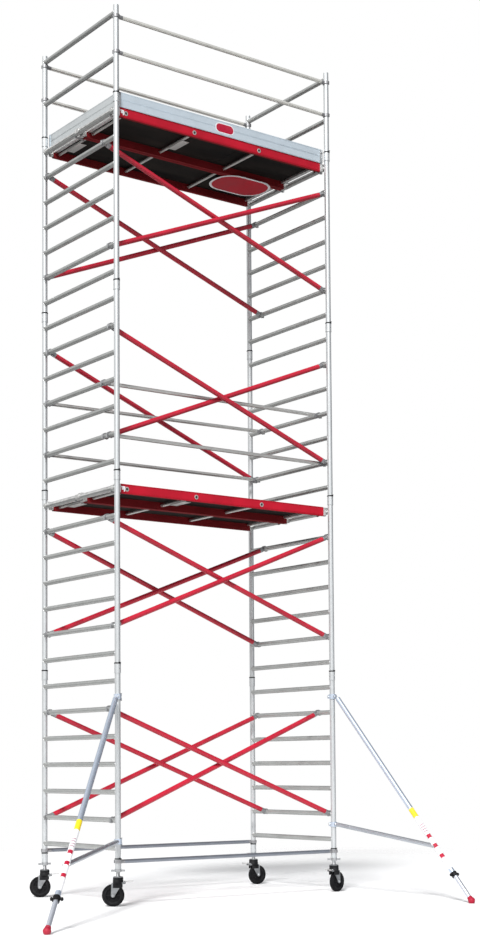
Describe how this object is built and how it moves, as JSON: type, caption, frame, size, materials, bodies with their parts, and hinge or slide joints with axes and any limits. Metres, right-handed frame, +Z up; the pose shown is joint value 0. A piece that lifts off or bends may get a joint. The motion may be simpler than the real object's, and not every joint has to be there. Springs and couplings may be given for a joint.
{
  "type": "rolling scaffold tower with scaffold planks",
  "caption": "Rolling aluminium scaffold tower with ladder frames, paired planks on two levels, hatches, toe boards, guardrails, castors and stabilisers.",
  "frame": {"origin": "on the floor, midway between the four posts, which is where the mount floor_contact is", "axes": "+X along the planks from the left ladder frame to the right one, +Y from the stabiliser side to the back, +Z up"},
  "size_m": [4.346, 3.2667, 8.245],
  "materials": {
    "frame_aluminium": "satin mill finish",
    "rail_aluminium": "satin mill finish",
    "stabiliser_aluminium": "satin, cool grey",
    "cast_aluminium": "cast, lightly polished",
    "red_tube": "gloss powder coat",
    "plank_red": "satin powder coat",
    "black_plastic": "matt black moulding",
    "plywood": "dark phenolic-faced plywood",
    "toe_board": "pale blue-grey anodised",
    "zinc_steel": "zinc plated",
    "brake_steel": "pressed steel",
    "wheel_rubber": "matt black",
    "red_rubber": "satin red rubber"
  },
  "bodies": {
    "tower": {"frame_left_1": "frame_aluminium", "frame_left_2": "frame_aluminium", "frame_left_3": "frame_aluminium", "frame_left_4": "frame_aluminium", "frame_right_1": "frame_aluminium", "frame_right_2": "frame_aluminium", "frame_right_3": "frame_aluminium", "frame_right_4": "frame_aluminium", "guard_frame_left": "frame_aluminium", "guard_frame_right": "frame_aluminium", "locking_rings": "black_plastic", "diagonal_braces_1": "red_tube", "diagonal_braces_2": "red_tube", "diagonal_braces_3": "red_tube", "diagonal_braces_4": "red_tube", "horizontal_braces": "rail_aluminium", "brace_claws": "cast_aluminium", "claw_latches": "zinc_steel", "plank_rails_upper_front": "plank_red", "plank_rails_upper_rear": "plank_red", "plank_rails_lower_front": "plank_red", "plank_rails_lower_rear": "plank_red", "plank_panels_upper": "plywood", "plank_panels_lower": "plywood", "plank_cross_tubes": "rail_aluminium", "plank_hooks": "cast_aluminium", "toe_boards_long": "toe_board", "toe_boards_short": "toe_board", "toe_board_clips": "zinc_steel", "hatch_hinges": "zinc_steel", "wind_locks": "zinc_steel", "wing_nuts": "zinc_steel"},
    "castor_leg_fl": {"castor_leg_fl": "zinc_steel"},
    "castor_fork_fl": {"castor_fork_fl": "zinc_steel"},
    "castor_wheel_fl": {"castor_wheel_fl": "wheel_rubber"},
    "castor_brake_fl": {"castor_brake_fl": "brake_steel"},
    "castor_leg_fr": {"castor_leg_fr": "zinc_steel"},
    "castor_fork_fr": {"castor_fork_fr": "zinc_steel"},
    "castor_wheel_fr": {"castor_wheel_fr": "wheel_rubber"},
    "castor_brake_fr": {"castor_brake_fr": "brake_steel"},
    "castor_leg_rl": {"castor_leg_rl": "zinc_steel"},
    "castor_fork_rl": {"castor_fork_rl": "zinc_steel"},
    "castor_wheel_rl": {"castor_wheel_rl": "wheel_rubber"},
    "castor_brake_rl": {"castor_brake_rl": "brake_steel"},
    "castor_leg_rr": {"castor_leg_rr": "zinc_steel"},
    "castor_fork_rr": {"castor_fork_rr": "zinc_steel"},
    "castor_wheel_rr": {"castor_wheel_rr": "wheel_rubber"},
    "castor_brake_rr": {"castor_brake_rr": "brake_steel"},
    "stabiliser_left": {"stabiliser_outer_tube_left": "stabiliser_aluminium", "stabiliser_arm_left": "rail_aluminium", "stabiliser_clamp_left": "black_plastic"},
    "stabiliser_slider_left": {"stabiliser_inner_tube_left": "rail_aluminium", "stabiliser_foot_left": "red_rubber"},
    "stabiliser_right": {"stabiliser_outer_tube_right": "stabiliser_aluminium", "stabiliser_arm_right": "rail_aluminium", "stabiliser_clamp_right": "black_plastic"},
    "stabiliser_slider_right": {"stabiliser_inner_tube_right": "rail_aluminium", "stabiliser_foot_right": "red_rubber"},
    "hatch_upper": {"hatch_upper": "plywood"},
    "hatch_lower": {"hatch_lower": "plywood"}
  },
  "joints": [
    {"name": "leg_adjust_fl", "type": "slide", "parent": "tower", "child": "castor_leg_fl", "axis": [0, 0, -1], "range_m": [0, 0.2]},
    {"name": "swivel_fl", "type": "hinge", "parent": "castor_leg_fl", "child": "castor_fork_fl", "pos_m": [-1.25, -0.66, 0.265], "axis": [0, 0, 1], "continuous": true},
    {"name": "wheel_fl", "type": "hinge", "parent": "castor_fork_fl", "child": "castor_wheel_fl", "pos_m": [-1.28537, -0.63383, 0.1], "axis": [-0.5948, -0.8039, 0], "continuous": true},
    {"name": "brake_fl", "type": "hinge", "parent": "castor_fork_fl", "child": "castor_brake_fl", "pos_m": [-1.20418, -0.6939, 0.216], "axis": [0.5948, 0.8039, 0], "range_deg": [0, 14]},
    {"name": "leg_adjust_fr", "type": "slide", "parent": "tower", "child": "castor_leg_fr", "axis": [0, 0, -1], "range_m": [0, 0.2]},
    {"name": "swivel_fr", "type": "hinge", "parent": "castor_leg_fr", "child": "castor_fork_fr", "pos_m": [1.25, -0.66, 0.265], "axis": [0, 0, 1], "continuous": true},
    {"name": "wheel_fr", "type": "hinge", "parent": "castor_fork_fr", "child": "castor_wheel_fr", "pos_m": [1.29304, -0.65085, 0.1], "axis": [-0.2079, 0.9781, 0], "continuous": true},
    {"name": "brake_fr", "type": "hinge", "parent": "castor_fork_fr", "child": "castor_brake_fr", "pos_m": [1.19425, -0.67185, 0.216], "axis": [0.2079, -0.9781, 0], "range_deg": [0, 14]},
    {"name": "leg_adjust_rl", "type": "slide", "parent": "tower", "child": "castor_leg_rl", "axis": [0, 0, -1], "range_m": [0, 0.2]},
    {"name": "swivel_rl", "type": "hinge", "parent": "castor_leg_rl", "child": "castor_fork_rl", "pos_m": [-1.25, 0.66, 0.265], "axis": [0, 0, 1], "continuous": true},
    {"name": "wheel_rl", "type": "hinge", "parent": "castor_fork_rl", "child": "castor_wheel_rl", "pos_m": [-1.28537, 0.68617, 0.1], "axis": [-0.5948, -0.8039, 0], "continuous": true},
    {"name": "brake_rl", "type": "hinge", "parent": "castor_fork_rl", "child": "castor_brake_rl", "pos_m": [-1.20418, 0.6261, 0.216], "axis": [0.5948, 0.8039, 0], "range_deg": [0, 14]},
    {"name": "leg_adjust_rr", "type": "slide", "parent": "tower", "child": "castor_leg_rr", "axis": [0, 0, -1], "range_m": [0, 0.2]},
    {"name": "swivel_rr", "type": "hinge", "parent": "castor_leg_rr", "child": "castor_fork_rr", "pos_m": [1.25, 0.66, 0.265], "axis": [0, 0, 1], "continuous": true},
    {"name": "wheel_rr", "type": "hinge", "parent": "castor_fork_rr", "child": "castor_wheel_rr", "pos_m": [1.29383, 0.65617, 0.1], "axis": [0.0872, 0.9962, 0], "continuous": true},
    {"name": "brake_rr", "type": "hinge", "parent": "castor_fork_rr", "child": "castor_brake_rr", "pos_m": [1.19322, 0.66497, 0.216], "axis": [-0.0872, -0.9962, 0], "range_deg": [0, 14]},
    {"name": "stabiliser_swing_left", "type": "hinge", "parent": "tower", "child": "stabiliser_left", "pos_m": [-1.25, -0.66, 0.575], "axis": [0, 0, 1], "range_deg": [-35, 35]},
    {"name": "stabiliser_telescope_left", "type": "slide", "parent": "stabiliser_left", "child": "stabiliser_slider_left", "axis": [-0.5517, -0.5517, -0.6254], "range_m": [-0.2, 0.2]},
    {"name": "stabiliser_swing_right", "type": "hinge", "parent": "tower", "child": "stabiliser_right", "pos_m": [1.25, -0.66, 0.66], "axis": [0, 0, 1], "range_deg": [-35, 35]},
    {"name": "stabiliser_telescope_right", "type": "slide", "parent": "stabiliser_right", "child": "stabiliser_slider_right", "axis": [0.0309, -0.6801, -0.7324], "range_m": [-0.2, 0.2]},
    {"name": "hatch_upper_hinge", "type": "hinge", "parent": "tower", "child": "hatch_upper", "pos_m": [-0.01, -0.557, 7.3135], "axis": [1, 0, 0], "range_deg": [0, 80]},
    {"name": "hatch_lower_hinge", "type": "hinge", "parent": "tower", "child": "hatch_lower", "pos_m": [-0.01, -0.557, 3.8135], "axis": [1, 0, 0], "range_deg": [0, 80]}
  ]
}
